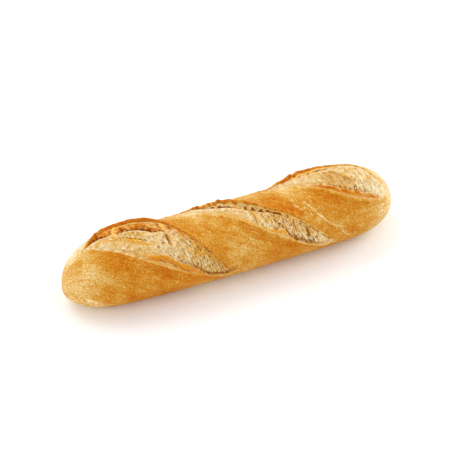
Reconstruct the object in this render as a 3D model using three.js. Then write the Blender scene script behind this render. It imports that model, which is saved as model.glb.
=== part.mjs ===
// A half baguette: one solid loaf of crusted bread, lying on its flat underside, long axis along X.
// Three slanting scores have opened in the oven. Each one is a lens that winds over the top from the back
// to the front: a crust lip, the ear, stands up along its back edge, a crevice lies under that lip, and the
// torn crumb swells up to a lower lip in front. Millimetres, +Z up. An angle is in degrees round the long
// axis: 0 is straight up, 90 points to the front (-Y), 180 straight down.
import * as THREE from "three";

// ---- driving dimensions ----
const LENGTH = 270;
const WIDTH = 57.6; // across the bands of plain crust, without the ears
const AXIS_HEIGHT = 25; // of the long axis over the surface that the loaf stands on
const TOP_RISE = 26.9; // from the axis up to the plain crust
const UNDER_DROP = 27.5; // from the axis down, before the surface below cuts it flat
const BEND = 4.9; // how far the ends lie behind the middle
// the rounded ends: length and bluntness of the dome, and how far its tip lies below the axis
const LEFT_END = { dome: 56, power: 2.75, sink: 11.8 };
const RIGHT_END = { dome: 51, power: 2.85, sink: 6.5 };
const LUMPS = { height: 0.35, length: 31, turns: 3 }; // slow unevenness of the crust
const CREST_RADIUS = 28; // turns an angle round the loaf into mm of crust

// from and to are a score's tips, as [x, angle]. open is the widest gap between its lips, in degrees. skew moves
// that widest place along the score, and full makes the lens blunter. bow and swing bend the front lip. ear is
// the height of the back lip, highest at earAt and fading over earSpread to its tail, and swell that of the
// crumb, in mm. Places along a score run from 0 at its left tip to 1 at its right tip.
const SCORES = [
  {
    from: [-116, -7],
    to: [0, 120],
    bow: 0.33,
    swing: 0.01,
    open: 93.5,
    skew: 0.75,
    full: 1.22,
    ear: 5.7,
    earAt: 0.32,
    earSpread: 0.23,
    tail: 0.26,
    swell: 1.6,
  },
  {
    from: [-38, -41],
    to: [77.5, 116],
    bow: 0.31,
    swing: 0.02,
    open: 44.5,
    skew: 1.58,
    full: 0.98,
    ear: 7.5,
    earAt: 0.32,
    earSpread: 0.23,
    tail: 0.39,
    swell: 1.0,
  },
  {
    from: [35.5, -34],
    to: [129, 54.5],
    bow: 0.67,
    swing: 0.07,
    open: 89,
    skew: 1.72,
    full: 0.91,
    ear: 6.6,
    earAt: 0.37,
    earSpread: 0.34,
    tail: 0.06,
    swell: 1.8,
  },
];

// relief across a score, in mm
const EAR_REACH = 17.5; // how far behind the ear the crust is lifted
const EAR_TAIL_FALL = 0.6; // how much lower the ear's tail is at the right tip than at the left one
const CREVICE = { depth: 3.2, width: 7, deepestAt: 0.36, spread: 0.3 };
const FRONT_LIP = { height: 1.1, reach: 7, width: 2.6, sink: 1.5 };
const CUT_FACE = 2; // the ear's front face, measured round the loaf

// the mesh: stations along the loaf and lines round it
const STATIONS = 104;
const CROWDING = 0.55; // how much the stations crowd towards the rounded ends
const BAND_STEPS = [0, 0.045, 0.1, 0.2, 0.36, 0.55, 0.74, 0.9, 1]; // across a score
const GAP_CELLS = [12, 6, 6]; // in the plain crust in front of the left, middle and right score
const HELIX = 1.2; // turn of the lines beyond a score's tips, in degrees for each mm of length
const TIP_BAND = 5; // least width of a score's band of lines, in degrees
const BAND_SPREAD = 0.24; // widening of that band beyond the tips, in degrees for each mm

const clamp = (value) => Math.min(1, Math.max(0, value));
const ease = (value) => clamp(value) ** 2 * (3 - 2 * clamp(value));
const radians = (degrees) => (degrees * Math.PI) / 180;
const bell = (value, centre, spread) => Math.exp(-(((value - centre) / spread) ** 2));
const crustLength = (degrees) => radians(degrees) * CREST_RADIUS;

// ---- the plain loaf ----
const endOf = (x) => (x < 0 ? LEFT_END : RIGHT_END);

// Size of the cross-section, from 0 at a tip to 1 past the dome.
function fullness(x) {
  const end = endOf(x);
  const intoDome = 1 - (LENGTH / 2 - Math.abs(x)) / end.dome;
  return Math.sqrt(Math.max(0, 1 - clamp(intoDome) ** end.power));
}

function lumps(x, angle) {
  const wave = Math.sin((2 * Math.PI * x) / LUMPS.length + 2 * Math.sin(radians(angle)));
  return LUMPS.height * wave * Math.sin(radians(LUMPS.turns * angle) + x / LUMPS.length);
}

function crustPoint(x, angle, raise) {
  const size = fullness(x);
  const sine = Math.sin(radians(angle));
  const cosine = Math.cos(radians(angle));
  const depth = cosine > 0 ? TOP_RISE : UNDER_DROP;
  const out = (raise + lumps(x, angle)) * Math.min(1, size * 1.4); // it dies out at the tips
  const y = BEND * ((2 * x) / LENGTH) ** 2 - sine * ((WIDTH / 2) * size + out);
  const z = AXIS_HEIGHT - endOf(x).sink * (1 - size) + cosine * (depth * size + out);
  return new THREE.Vector3(x, y, Math.max(0, z));
}

// ---- the scores ----
const along = (score, x) => (x - score.from[0]) / (score.to[0] - score.from[0]);

function frontAngle(score, x) {
  const t = along(score, x);
  if (t < 0) return score.from[1] + HELIX * (x - score.from[0]);
  if (t > 1) return score.to[1] + HELIX * (x - score.to[0]);
  const bent = t + score.bow * t * (1 - t) - score.swing * Math.sin(2 * Math.PI * t);
  return score.from[1] + (score.to[1] - score.from[1]) * bent;
}

function bandAngle(score, x) {
  const t = clamp(along(score, x));
  const open = score.open * Math.sin(Math.PI * t ** score.skew) ** score.full;
  const beyond = Math.max(score.from[0] - x, x - score.to[0], 0);
  return Math.hypot(open, TIP_BAND) + BAND_SPREAD * beyond;
}

function earHeight(score, t) {
  const ends = ease(t / 0.12) * ease((1 - t) / 0.2);
  const tail = score.tail * (1 - EAR_TAIL_FALL * t);
  return score.ear * ends * Math.max(bell(t, score.earAt, score.earSpread), tail);
}

// Height of the crust or crumb over the plain loaf, for one score.
function relief(score, x, angle) {
  const t = along(score, x);
  if (t <= 0 || t >= 1) return 0;
  const toFront = crustLength(frontAngle(score, x) - angle); // positive behind the front lip
  const fromBack = crustLength(bandAngle(score, x)) - toFront; // positive in front of the ear
  const shut = ease(t / 0.1) * ease((1 - t) / 0.1); // everything dies out at the tips
  const ear = earHeight(score, t);
  const lip = FRONT_LIP.height * shut * ease(t / 0.5);
  if (fromBack <= 0) return ear * (1 - ease(-fromBack / EAR_REACH)) ** 1.3;
  if (toFront <= 0) return lip * (1 - ease(-toFront / FRONT_LIP.reach));
  const across = fromBack / (fromBack + toFront);
  const depth = CREVICE.depth * shut * (0.35 + 0.65 * bell(t, CREVICE.deepestAt, CREVICE.spread));
  const hollow = ease(fromBack / CUT_FACE) * (1 - ease((fromBack - CUT_FACE) / CREVICE.width));
  const atLip = 1 - ease(toFront / FRONT_LIP.width);
  const sink = FRONT_LIP.sink * shut * t * ease(2 * across) * (1 - atLip);
  const crown = score.swell * shut * Math.sin(Math.PI * clamp((across - 0.08) / 0.84));
  return ear * (1 - ease(fromBack / CUT_FACE)) - depth * hollow + crown - sink + lip * atLip;
}

function loafPoint(x, angle) {
  let raise = 0;
  for (const score of SCORES) {
    const turns = Math.round((frontAngle(score, x) - angle) / 360); // the nearest time round
    raise += relief(score, x, angle + 360 * turns);
  }
  return crustPoint(x, angle, raise);
}

// ---- the mesh ----
// Angles of the lines at a station, rising: each score's band, then the plain crust in front of it. The right
// score's band has the lowest angles, because the scores' lines turn to the front as x grows.
function lineAngles(x) {
  const bands = SCORES.map((score) => {
    const front = frontAngle(score, x);
    return { back: front - bandAngle(score, x), front };
  }).reverse();
  const angles = [];
  bands.forEach((band, k) => {
    const nextBack = k + 1 < bands.length ? bands[k + 1].back : bands[0].back + 360;
    const cells = GAP_CELLS[bands.length - 1 - k];
    for (const step of BAND_STEPS) angles.push(band.back + (band.front - band.back) * step);
    for (let cell = 1; cell < cells; cell++)
      angles.push(band.front + ((nextBack - band.front) * cell) / cells);
  });
  return angles;
}

function loafGeometry() {
  const points = [crustPoint(-LENGTH / 2, 0, 0)];
  for (let station = 1; station < STATIONS; station++) {
    const even = (2 * station) / STATIONS - 1;
    const crowded = Math.sin((Math.PI / 2) * even);
    const x = (LENGTH / 2) * ((1 - CROWDING) * even + CROWDING * crowded);
    for (const angle of lineAngles(x)) points.push(loafPoint(x, angle));
  }
  points.push(crustPoint(LENGTH / 2, 0, 0));

  const lines = lineAngles(0).length;
  const ring = (station, line) => 1 + (station - 1) * lines + (line % lines);
  const faces = [];
  for (let line = 0; line < lines; line++) {
    faces.push([0, ring(1, line + 1), ring(1, line)]);
    for (let station = 1; station < STATIONS - 1; station++) {
      const [a, b] = [ring(station, line), ring(station, line + 1)];
      const [c, d] = [ring(station + 1, line), ring(station + 1, line + 1)];
      faces.push([a, b, c], [b, d, c]);
    }
    faces.push([points.length - 1, ring(STATIONS - 1, line), ring(STATIONS - 1, line + 1)]);
  }

  const geometry = new THREE.BufferGeometry().setFromPoints(points);
  geometry.setIndex(faces.flat());
  geometry.computeBoundingBox();
  const { min, max } = geometry.boundingBox;
  geometry.translate(-(min.x + max.x) / 2, -(min.y + max.y) / 2, -min.z); // origin under the middle
  geometry.computeVertexNormals();
  return geometry;
}

const crust = new THREE.MeshStandardMaterial({ color: 0xdb993f, roughness: 0.6, metalness: 0 });
const loaf = new THREE.Mesh(loafGeometry(), crust);
loaf.name = "loaf";

const baguette = new THREE.Group();
baguette.add(loaf);
export default baguette;
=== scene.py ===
import itertools
import math
from types import SimpleNamespace

import bmesh
import bpy
import numpy as np
from mathutils import Matrix, Vector


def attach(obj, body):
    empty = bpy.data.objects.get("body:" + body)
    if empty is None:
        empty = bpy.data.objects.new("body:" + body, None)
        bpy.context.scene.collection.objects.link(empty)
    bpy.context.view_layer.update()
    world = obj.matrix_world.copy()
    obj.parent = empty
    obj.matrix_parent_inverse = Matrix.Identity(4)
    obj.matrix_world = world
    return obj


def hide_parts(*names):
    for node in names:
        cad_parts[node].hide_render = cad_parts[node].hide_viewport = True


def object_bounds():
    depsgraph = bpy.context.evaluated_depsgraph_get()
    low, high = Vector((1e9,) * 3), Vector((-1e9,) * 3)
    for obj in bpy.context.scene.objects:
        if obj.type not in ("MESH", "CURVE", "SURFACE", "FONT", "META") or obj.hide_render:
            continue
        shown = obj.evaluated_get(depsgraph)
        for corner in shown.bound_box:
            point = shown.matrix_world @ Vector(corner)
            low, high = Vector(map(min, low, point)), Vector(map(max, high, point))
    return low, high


print("loading the packed loaf")
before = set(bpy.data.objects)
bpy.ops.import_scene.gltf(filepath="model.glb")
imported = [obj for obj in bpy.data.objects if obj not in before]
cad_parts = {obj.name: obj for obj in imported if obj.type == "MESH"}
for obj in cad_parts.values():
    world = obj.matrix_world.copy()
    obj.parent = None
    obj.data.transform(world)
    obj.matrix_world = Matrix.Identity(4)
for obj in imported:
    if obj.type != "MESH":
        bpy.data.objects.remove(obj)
cadLow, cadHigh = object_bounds()

mm = 0.001  # every length below is in millimetres, and becomes metres when a mesh is made
seed = 20  # shifts the pattern of all the noise

# An angle is in degrees round the long axis: 0 is straight up, 90 points to the front (-Y), and 180 is
# straight down.
loaf = {
    "length": (cadHigh.x - cadLow.x) / mm,
    "width": 57.6,  # across the bands of plain crust
    "axisHeight": 25,
    "topRise": 26.9,  # from the axis up to the plain crust
    "underDrop": 27.5,  # from the axis down, before the floor cuts it flat
    "bend": 4.9,  # how far the ends lie behind the middle
    "shift": -0.97,  # brings the bent loaf back over the origin
    "leftEnd": {"dome": 56, "power": 2.75, "sink": 11.8},
    "rightEnd": {"dome": 51, "power": 2.85, "sink": 6.5},
    "crestRadius": 28,  # turns an angle into mm of crust
    "helix": 1.2,  # turn of the lines beyond a score, in degrees for each mm of length
    "tipBand": 5,  # least width of a score, in degrees
    "bandSpread": 0.24,  # how much it widens beyond a score, in degrees for each mm
    "lipReach": 7,  # how far in front of a lip the crust is lifted
    "tipRelief": 1.4,  # relief dies out at the tips, and closer to them where this is larger
    "jags": [(0.8, 4.1, 5), (0.7, 1.7, 6)],  # the ears' ragged edge: clouds, each as height, size and salt
}

# A place along a score, t, runs from 0 at its left tip to 1, and a list of pairs gives a size at places along
# it. Small forms in the crumb are placed by x and by their distance in front of the ear. This is what a score
# has unless it says otherwise.
usualScore = {
    "hook": 0,  # how far its right tip turns back up, in degrees
    "turnUp": 0,  # and its left tip
    "pinch": 0,  # how much narrower it gets near its right tip
    "burnt": 0,  # how much browner the crust behind its right half is
    "footAt": 1.2,  # how far in front of the ear's edge the foot of the torn face stands
    "notchEnd": 0.2,  # how much of the notch below its rim is left at the right end
    "faceShadeNearCrevice": 0.12,  # how much darker the painted shade makes that face near the crevice
    "paleSpots": 0.5,
    "clumps": 1,  # how crumbly it is
    "gapContrast": 1.2,  # how uneven the shadow at its foot is
    "crumbled": 0,  # how far that shadow is crumbled to bits
    "toastSpread": 1.1,  # width in mm of the toasted line on the torn lip
    "skinToast": 1,  # how toasted the streaks of the smooth skin are
    "undercut": [(0, 0), (1, 0)],  # how deep the foot of the torn face is, and how dark the painted shade there is
    "light": [(0, 0), (1, 0)],  # how much lighter the crumb's painted shade is made: partly paler crumb, partly painted fill light where it lies in shade
    "ridge": [(0, 0), (1, 0)],  # how much of a toasted ridge the smooth skin has
    "gloom": [(0, 0), (1, 0)],  # how dull the crumb is
    "skinPatch": [],  # corners of a patch of smooth skin
    "strand": [],  # crosses the crevice
}
leftScore = {
    **usualScore,
    "name": "left",
    "from": (-116, -7),  # its tips, as (x, angle)
    "to": (0, 120),
    "bow": 0.33,  # how far its front line bends
    "swing": 0.01,  # and how far it swings to both sides
    "open": 93.5,  # its widest gap, in degrees
    "skew": 0.75,  # over 1 the widest place lies further right
    "full": 1.22,  # under 1 the gap is blunter
    "ear": 5.7,  # height of the ear
    "earAt": 0.32,
    "earSpread": 0.23,
    "earReach": 17.5,  # how far behind the ear the crust is lifted
    "tail": 0.26,  # share of its height that the ear keeps further along
    "burnt": 0.08,
    "hook": 13,
    "turnUp": 6,
    "pinch": 0.45,
    "jag": 0.6,  # how ragged the ear's edge is
    # thickness of the ear's edge
    "rind": [(0, 0.8), (0.04, 1.8), (0.13, 3.3), (0.36, 4), (0.46, 3.3), (0.56, 1.4), (0.7, 0.7),
             (1, 0.35)],
    "knobs": 0.7,  # how knobbly the torn face under the ear is
    "faceSlope": 0,  # how far it slopes out towards its foot
    "footAt": 1.5,
    "notchEnd": 0.5,
    "faceShadeNearCrevice": 0.3,
    "paleSpots": 0.35,
    "clumps": 0,
    "toastSpread": 1.4,
    "lean": 0.57,  # mm that the torn fibres slant along the loaf for each mm round it
    "fibreLength": 0.62,  # against the usual length
    "porous": 1,
    "embers": 0.5,  # dark specks along the torn lip
    "lipScorchAndShade": 0.55,
    "facePale": [(0, 0), (0.19, 0), (0.25, 0.04), (0.4, 0.08), (0.5, 0.14), (0.6, 0.2), (1, 0.4)],
    "flour": [(0, 0.9), (0.12, 0.7), (0.22, 0.3), (0.35, 0.05), (0.45, 0.55), (0.56, 0.4), (0.7, 0), (1, 0)],
    # height of the bowl under the ear, where the crest in front of it is, its height and the dip behind it
    "bowl": [(0, 0.4), (0.1, 0.5), (0.2, 1), (0.4, 1), (0.46, 0.8), (0.53, 0.6), (1, 0.1)],
    "crestAt": [(0, 1.5), (0.05, 4), (0.1, 8.7), (0.15, 12), (0.2, 14.8), (0.25, 16.4), (0.3, 16.3),
                (0.35, 15.3), (0.42, 16.2), (0.46, 15.2), (0.5, 12), (0.56, 7), (0.63, 3), (0.7, 2),
                (1, 1.6)],
    "crestHeight": [(0, 0.2), (0.1, 0.6), (0.2, 0.2), (0.3, 0.4), (0.44, 0.2), (0.5, 0.2), (0.56, 0.5),
                    (0.65, 0.6), (1, 0.1)],
    "dip": [(0, 0.6), (0.05, 1.5), (0.12, 2.6), (0.3, 2.3), (0.4, 2.1), (0.46, 1.2), (0.52, 0.4),
            (0.58, 0.1), (1, 0.1)],
    # how far the crevice and its painted shade reach behind the crest, and how broken it is
    "crevice": [(0, 1.6), (0.04, 3.4), (0.08, 5), (0.12, 7.6), (0.165, 7), (0.19, 4), (0.215, 1.6),
                (0.235, 0.6), (0.26, 2.4), (0.285, 6.4), (0.31, 7), (0.335, 4.8), (0.36, 5.4), (0.41, 5),
                (0.44, 3.6), (0.48, 2), (0.53, 0.2), (1, 0)],
    "broken": 0.5,
    "rimFrom": -0.01,  # where the crust's dark rim at the ear starts
    # and how dark it is
    "scorch": [(0, 0.3), (0.03, 0.46), (0.09, 0.4), (0.15, 0.24), (0.3, 0.16), (0.45, 0.1), (0.55, 0.16),
               (0.9, 0.12), (1, 0.05)],
    # pale crust at the left tip: x, mm in front, spreads of both, amount
    "neck": (-119, -8, 10, 15, 0.15),
    # how golden the crumb is next to the ear
    "gold": [(0, 0), (0.36, 0.1), (0.42, 0.7), (0.5, 1), (0.66, 0.9), (0.8, 0.5), (1, 0.4)],
    "earGold": 1,
    "beads": 0.5,  # how beaded the ear's edge is
    "swell": [(0, 0.3), (0.15, 1), (0.4, 1.1), (0.6, 0.7), (1, 0.2)],
    # smooth skin in front of a toasted ridge
    "skinEdge": [(0, 4), (0.08, 7), (0.12, 9.9), (0.178, 13.8), (0.232, 14), (0.294, 15.1), (0.369, 16),
                 (0.5, 17)],
    "skinFade": [(0, 1), (0.3, 1), (0.38, 0.75), (0.46, 0)],
    "ridge": [(0, 0), (0.08, 0.3), (0.14, 1), (0.33, 1), (0.42, 0)],
    # torn inner edge of the front lip: mm from the lip, how torn it is, and how far the crumb drops behind it
    "tornEdge": [(0, 4), (0.3, 5), (0.344, 5.5), (0.382, 6.2), (0.43, 8.1), (0.484, 9.3), (0.527, 7.7),
                 (0.559, 6.5), (0.613, 6.2), (0.66, 4.9), (0.7, 2.5), (0.734, 1.4), (1, 1)],
    "torn": [(0, 0), (0.32, 0), (0.4, 0.8), (0.5, 1), (0.66, 1), (0.74, 0.7), (0.9, 0.3), (1, 0)],
    "tornDrop": [(0, 0), (0.36, 0.1), (0.5, 0.4), (0.6, 0.6), (0.68, 1.1), (0.84, 1.4), (0.95, 0.5), (1, 0)],
    "gloom": [(0, 0), (0.45, 0), (0.55, 0.25), (0.7, 0.35), (0.8, 0.7), (0.9, 0.95), (1, 1)],
    "folds": [
        {"line": [(-55.6, 0), (-55.4, 1.4), (-54.6, 7.8), (-53.7, 11.7), (-53.6, 15.3), (-53.9, 18.4)],
         "height": 0.9, "hollow": 1, "from": 12},
    ],
    "pits": [(-43.9, 10.5, 1.1), (-42, 11, 0.9), (-39.9, 6.2, 0.7), (-47.4, 4.9, 0.7), (-49.5, 8.5, 0.6),
             (-55.2, 21.5, 1.1), (-52, 29, 0.6), (-37, 16, 0.6), (-33, 12.5, 0.5), (-70, 3, 0.7),
             (-66, 2.5, 0.6)],
    "slits": [[(-58.6, 38.4), (-55.4, 38.9)], [(-52.6, 36.8), (-49.2, 37.6)],
              [(-48.8, 35.8), (-43.6, 35.2)], [(-66.5, 40.8), (-63.5, 41.1)]],
    "strings": [[(-39.2, 8), (-37.2, 11.6)], [(-37.4, 7), (-34.6, 11.4)], [(-34.2, 4), (-31.6, 8.6)],
                [(-36.2, 17.5), (-33.4, 21.5)], [(-45.4, 5), (-44, 8.6)]],
    "stripTan": 1,  # how browned the lip's inner side is
    "strand": [(-85.6, 0.5), (-89.2, 7), (-91, 12.5), (-90.6, 19.5)],
}
middleScore = {
    **usualScore,
    "name": "middle",
    "from": (-38, -41),
    "to": (77.5, 116),
    "bow": 0.31,
    "swing": 0.02,
    "open": 44.5,
    "skew": 1.58,
    "full": 0.98,
    "ear": 7.5,
    "earAt": 0.33,
    "earSpread": 0.21,
    "earReach": 13,
    "tail": 0.36,
    "burnt": 0.1,
    "jag": 2.1,
    "rind": [(0, 0.8), (0.06, 2), (0.2, 2.4), (0.4, 2.2), (0.55, 1.1), (0.7, 0.55), (1, 0.3)],
    "knobs": 2,
    "faceSlope": 1.4,
    "gapContrast": 1.8,
    "crumbled": 1.9,
    "lean": 0.34,
    "fibreLength": 1,
    "porous": 0.7,
    "embers": 0.15,
    "lipScorchAndShade": 0.05,
    "facePale": [(0, 0.8), (0.2, 1), (0.5, 1), (0.64, 0.5), (1, 0.5)],
    "undercut": [(0, 0.4), (0.1, 0.65), (0.45, 0.65), (0.62, 0.4), (0.7, 0), (1, 0)],
    "flour": [(0, 0.9), (0.12, 0.6), (0.25, 0.2), (0.5, 0.2), (1, 0.1)],
    "bowl": [(0, 0.2), (0.1, 1), (0.2, 1.6), (0.32, 2), (0.4, 1), (0.5, -0.2), (0.58, 0), (0.66, 0.45),
             (1, 0)],
    "crestAt": [(0, 1), (0.1, 1.8), (0.2, 2.3), (0.36, 2.6), (0.45, 3.2), (0.6, 3), (0.8, 2.2), (1, 1.2)],
    "crestHeight": [(0, 0.3), (0.1, 1.8), (0.14, 2.3), (0.2, 2.8), (0.32, 3.3), (0.38, 2.4), (0.44, 1.3),
                    (0.5, 0.6), (0.6, 0.5), (0.8, 0.5), (1, 0)],
    "dip": [(0, 0.3), (0.08, 1), (0.16, 1.5), (0.3, 2), (0.5, 2), (0.6, 0.8), (0.66, 0.1), (1, 0)],
    "crevice": [(0, 0.2), (0.06, 1), (0.12, 1.8), (0.25, 2.6), (0.4, 2.4), (0.55, 1.8), (0.62, 1.1),
                (0.7, 0.4), (1, 0.1)],
    "broken": 1.5,
    "rimFrom": -0.02,
    "scorch": [(0, 0.16), (0.1, 0.26), (0.3, 0.34), (0.45, 0.22), (0.6, 0.04), (1, -0.06)],
    "light": [(0, 0.1), (0.4, 0.1), (0.6, 0.16), (1, 0.16)],
    "neck": (-30, 3, 14, 10, 0.13),
    "stripTan": 0.3,
    "gold": [(0, 0), (0.4, 0.1), (0.5, 0.45), (0.8, 0.4), (1, 0.2)],
    "earGold": 0.8,
    "beads": 1.7,
    "swell": [(0, 0.1), (0.2, 0.3), (0.45, 0.8), (0.6, 0.8), (1, 0.1)],
    "skinEdge": [(0, 30), (1, 30)],
    "skinFade": [(0, 1), (0.38, 1), (0.44, 0.55), (0.47, 0), (0.83, 0), (0.87, 0.7), (1, 0.7)],
    "tornEdge": [(0, 0.6), (0.15, 0.8), (0.3, 1.6), (0.45, 2.4), (0.53, 3), (0.562, 4.4), (0.592, 7.3),
                 (0.618, 7), (0.64, 3.4), (0.66, 1.8), (0.72, 1.8), (0.8, 1.4), (1, 0.8)],
    "torn": [(0, 0), (0.2, 0.1), (0.3, 0.4), (0.5, 0.5), (0.56, 1), (0.64, 1), (0.68, 0.8), (0.8, 0.6),
             (1, 0)],
    "tornDrop": [(0, 0), (0.3, 0.1), (0.5, 0.3), (0.58, 0.8), (0.66, 1.5), (0.8, 1.3), (0.9, 0.5), (1, 0)],
    "gloom": [(0, 0), (0.6, 0.1), (0.7, 0.3), (0.8, 0.4), (1, 0.3)],
    "folds": [
        {"line": [(41, 1.6), (46, 1), (50.6, 1.8), (52.8, 5), (53.8, 9)], "height": 0.8, "hollow": 1.3,
         "from": 3},
        {"line": [(12.4, 1.6), (14.4, 7.4), (15.6, 13.4)], "height": 0.5, "hollow": 0.3, "from": 0},
    ],
    "pits": [(36.1, 16.4, 1.3), (40.1, 15.7, 1.2), (46.4, 15.7, 1.6), (50.9, 11.3, 1.5), (28.1, 8.8, 1.2),
             (30, 10.4, 1.2), (32.4, 12.6, 1.1), (11.5, 12, 0.6), (24, 6.5, 0.8), (43.5, 11, 0.8),
             (57.5, 8, 0.9), (34, 6.5, 0.7)],
    "slits": [[(54.5, 9.5), (56.5, 12)], [(57.8, 7), (59.4, 10)]],
    "strings": [[(11, 1.8), (13, 9)], [(16.6, 2.5), (19.4, 11)], [(22, 4), (24.4, 11)],
                [(26, 5), (28.6, 12)], [(31, 5), (34, 12.5)], [(36.6, 5), (39.4, 13)],
                [(43, 3.5), (45.6, 12)], [(47.5, 4), (49, 9)]],
}
rightScore = {
    **usualScore,
    "name": "right",
    "from": (35.5, -34),
    "to": (129, 54.5),
    "bow": 0.67,
    "swing": 0.07,
    "open": 89,
    "skew": 1.72,
    "full": 0.91,
    "ear": 6.6,
    "earAt": 0.37,
    "earSpread": 0.34,
    "earReach": 17.5,
    "tail": 0.06,
    "jag": 1.1,
    "rind": [(0, 1.7), (0.08, 3), (0.2, 3.6), (0.4, 3.2), (0.6, 2.2), (0.72, 1.3), (1, 0.6)],
    "knobs": 1.2,
    "faceSlope": 0.5,
    "skinToast": 0.55,
    "lean": 0.3,
    "fibreLength": 0.75,
    "porous": 0.5,
    "embers": 0.45,
    "lipScorchAndShade": 1,
    "facePale": [(0, 0.3), (0.1, 0.6), (0.2, 0.9), (1, 1)],
    "undercut": [(0, 0), (0.1, 0.4), (0.3, 0.5), (0.4, 0.7), (0.45, 1.3), (0.6, 1.3), (0.64, 0.3), (0.7, 0),
                 (1, 0)],
    "flour": [(0, 0.1), (0.1, 0.4), (0.2, 0.5), (0.3, 0.3), (0.4, 0.1), (0.6, 0.2), (0.75, 0.6), (0.9, 1),
              (1, 1)],
    "bowl": [(0, 0.3), (0.1, 1.4), (0.2, 2.2), (0.3, 1.9), (0.5, 1.3), (0.7, 0.4), (1, 0)],
    "crestAt": [(0, 1), (0.1, 2.6), (0.2, 3.4), (0.4, 3.2), (0.5, 2.6), (0.6, 2.8), (0.75, 2), (1, 1.2)],
    "crestHeight": [(0, 0.5), (0.05, 1.7), (0.11, 2.5), (0.2, 2.6), (0.3, 1.9), (0.4, 1.1), (0.5, 0.9),
                    (0.6, 0.8), (0.7, 0.5), (1, 0)],
    "dip": [(0, 0.3), (0.15, 0.5), (0.3, 0.9), (0.4, 1.5), (0.6, 1.6), (0.68, 0.7), (0.8, 0.3), (1, 0.2)],
    "crevice": [(0, 0.2), (0.1, 0.6), (0.2, 0.8), (0.3, 0.7), (0.38, 1.3), (0.46, 2.3), (0.56, 2.3),
                (0.62, 1.2), (0.67, 0.3), (1, 0)],
    "broken": 1.2,
    "scorch": [(-0.1, 0.2), (0, 0.46), (0.12, 0.46), (0.22, 0.38), (0.4, 0.3), (0.6, 0.22), (0.8, 0.12),
               (1, 0)],
    "rimFrom": -0.09,
    "neck": (45, 4, 10, 9, 0.16),
    "stripTan": 0.9,
    "gold": [(0, 0), (0.4, 0.2), (1, 0)],
    "light": [(0, 0.02), (0.4, 0.04), (0.6, 0.08), (0.75, 0.16), (0.88, 0.28), (1, 0.36)],
    "earGold": 0.6,
    "beads": 1.2,
    "swell": [(0, 0.1), (0.3, 0.7), (0.5, 1.2), (0.8, 1.2), (1, 0.1)],
    "skinEdge": [(0, 60), (1, 60)],
    "skinFade": [(0, 1), (0.32, 1), (0.4, 0.5), (0.46, 0), (1, 0)],
    "tornEdge": [(0, 0.6), (0.25, 1.6), (0.33, 2.6), (0.41, 3.8), (0.5, 4.5), (0.58, 4.8), (0.69, 5.3),
                 (0.78, 5), (0.84, 3.2), (0.92, 1), (1, 0.6)],
    "torn": [(0, 0), (0.3, 0.2), (0.42, 0.9), (0.75, 1), (0.84, 0.4), (0.95, 0), (1, 0)],
    "tornDrop": [(0, 0), (0.4, 0.3), (0.5, 0.7), (0.75, 0.7), (0.85, 0.2), (1, 0)],
    "folds": [
        {"line": [(88.5, 16), (93.3, 24.5), (98.8, 27.6), (97.6, 31.2), (92, 33)], "height": 0.6,
         "hollow": 0.2, "from": 0},
    ],
    "pits": [(99.1, 9.9, 0.7), (104, 12, 0.6), (109, 22, 0.7), (101.5, 33.5, 0.8), (94.5, 11, 0.6),
             (120, 12, 0.7), (84, 10, 0.5)],
    "slits": [[(111.4, 11.5), (113.6, 15.4)], [(113.6, 14), (115.4, 18)], [(122.6, 3.4), (124.6, 5.4)],
              [(125, 4), (126.4, 6)], [(106, 7), (107.6, 10)]],
    "strings": [[(85, 18), (86.4, 26)], [(90.4, 21), (91.6, 30)], [(102, 13), (105.4, 24)],
                [(108, 12), (112, 24)], [(97, 7), (100, 16)], [(115, 8), (117.4, 17)],
                [(104, 26), (107, 34)]],
    # tore away from the crumb behind it
    "skinPatch": [(87.6, 15), (93.1, 24.4), (98.6, 27.6), (97.4, 31.4), (88, 33.6), (80.1, 29), (75.6, 19),
                  (80, 13)],
}
scores = [leftScore, middleScore, rightScore]


def clamp(value):
    return np.clip(value, 0, 1)


def ease(value):
    return clamp(value) ** 2 * (3 - 2 * clamp(value))


# From 0 at low to 1 at high, and smooth between them.
def rise(value, low, high):
    return ease((value - low) / (high - low))


def fall(value, low, high):
    return 1 - rise(value, low, high)


def bell(value, centre, spread):
    return np.exp(-(((value - centre) / spread) ** 2))


def mix(a, b, share):
    return a + (b - a) * share


# A smooth curve through a list of (place, value).
def follow(keys, where):
    places, values = (np.array(column, float) for column in zip(*keys))
    slopes = np.gradient(values, places)
    at = np.clip(np.searchsorted(places, where) - 1, 0, len(places) - 2)
    step = places[at + 1] - places[at]
    u = clamp((where - places[at]) / step)
    start = u * (1 - u) ** 2 * slopes[at] * step
    end = u * u * (u - 1) * slopes[at + 1] * step
    overshoot = 0.6  # 1 is a full cubic, and 0 is flat at each place
    return mix(values[at], values[at + 1], ease(u)) + overshoot * (start + end)


# A number from 0 to 1 for each cell of a grid, the same in every run: the cell's numbers, hashed.
def scramble(cells, salt):
    primes = (73856093, 19349663, 83492791)
    allBits = 0xFFFFFFFF
    mixed = np.full(cells[0].shape, (salt + seed) * 1640531513)
    for cell, prime in zip(cells, primes):
        mixed = mixed ^ cell * prime
    mixed = (mixed & allBits) * 2246822519 & allBits
    mixed = (mixed ^ mixed >> 15) * 3266489917 & allBits
    return ((mixed ^ mixed >> 16) & 0xFFFF) / 0xFFFF


# Splits space, a list of coordinates, into cells with the given sizes: whole numbers and the rest.
def intoCells(space, sizes):
    sizes = sizes if isinstance(sizes, tuple) else (sizes,) * len(space)
    cells = np.broadcast_arrays(*[np.asarray(axis, float) / size for axis, size in zip(space, sizes)])
    bases = [np.floor(cell).astype(np.int64) for cell in cells]
    return bases, [cell - base for cell, base in zip(cells, bases)]


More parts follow.
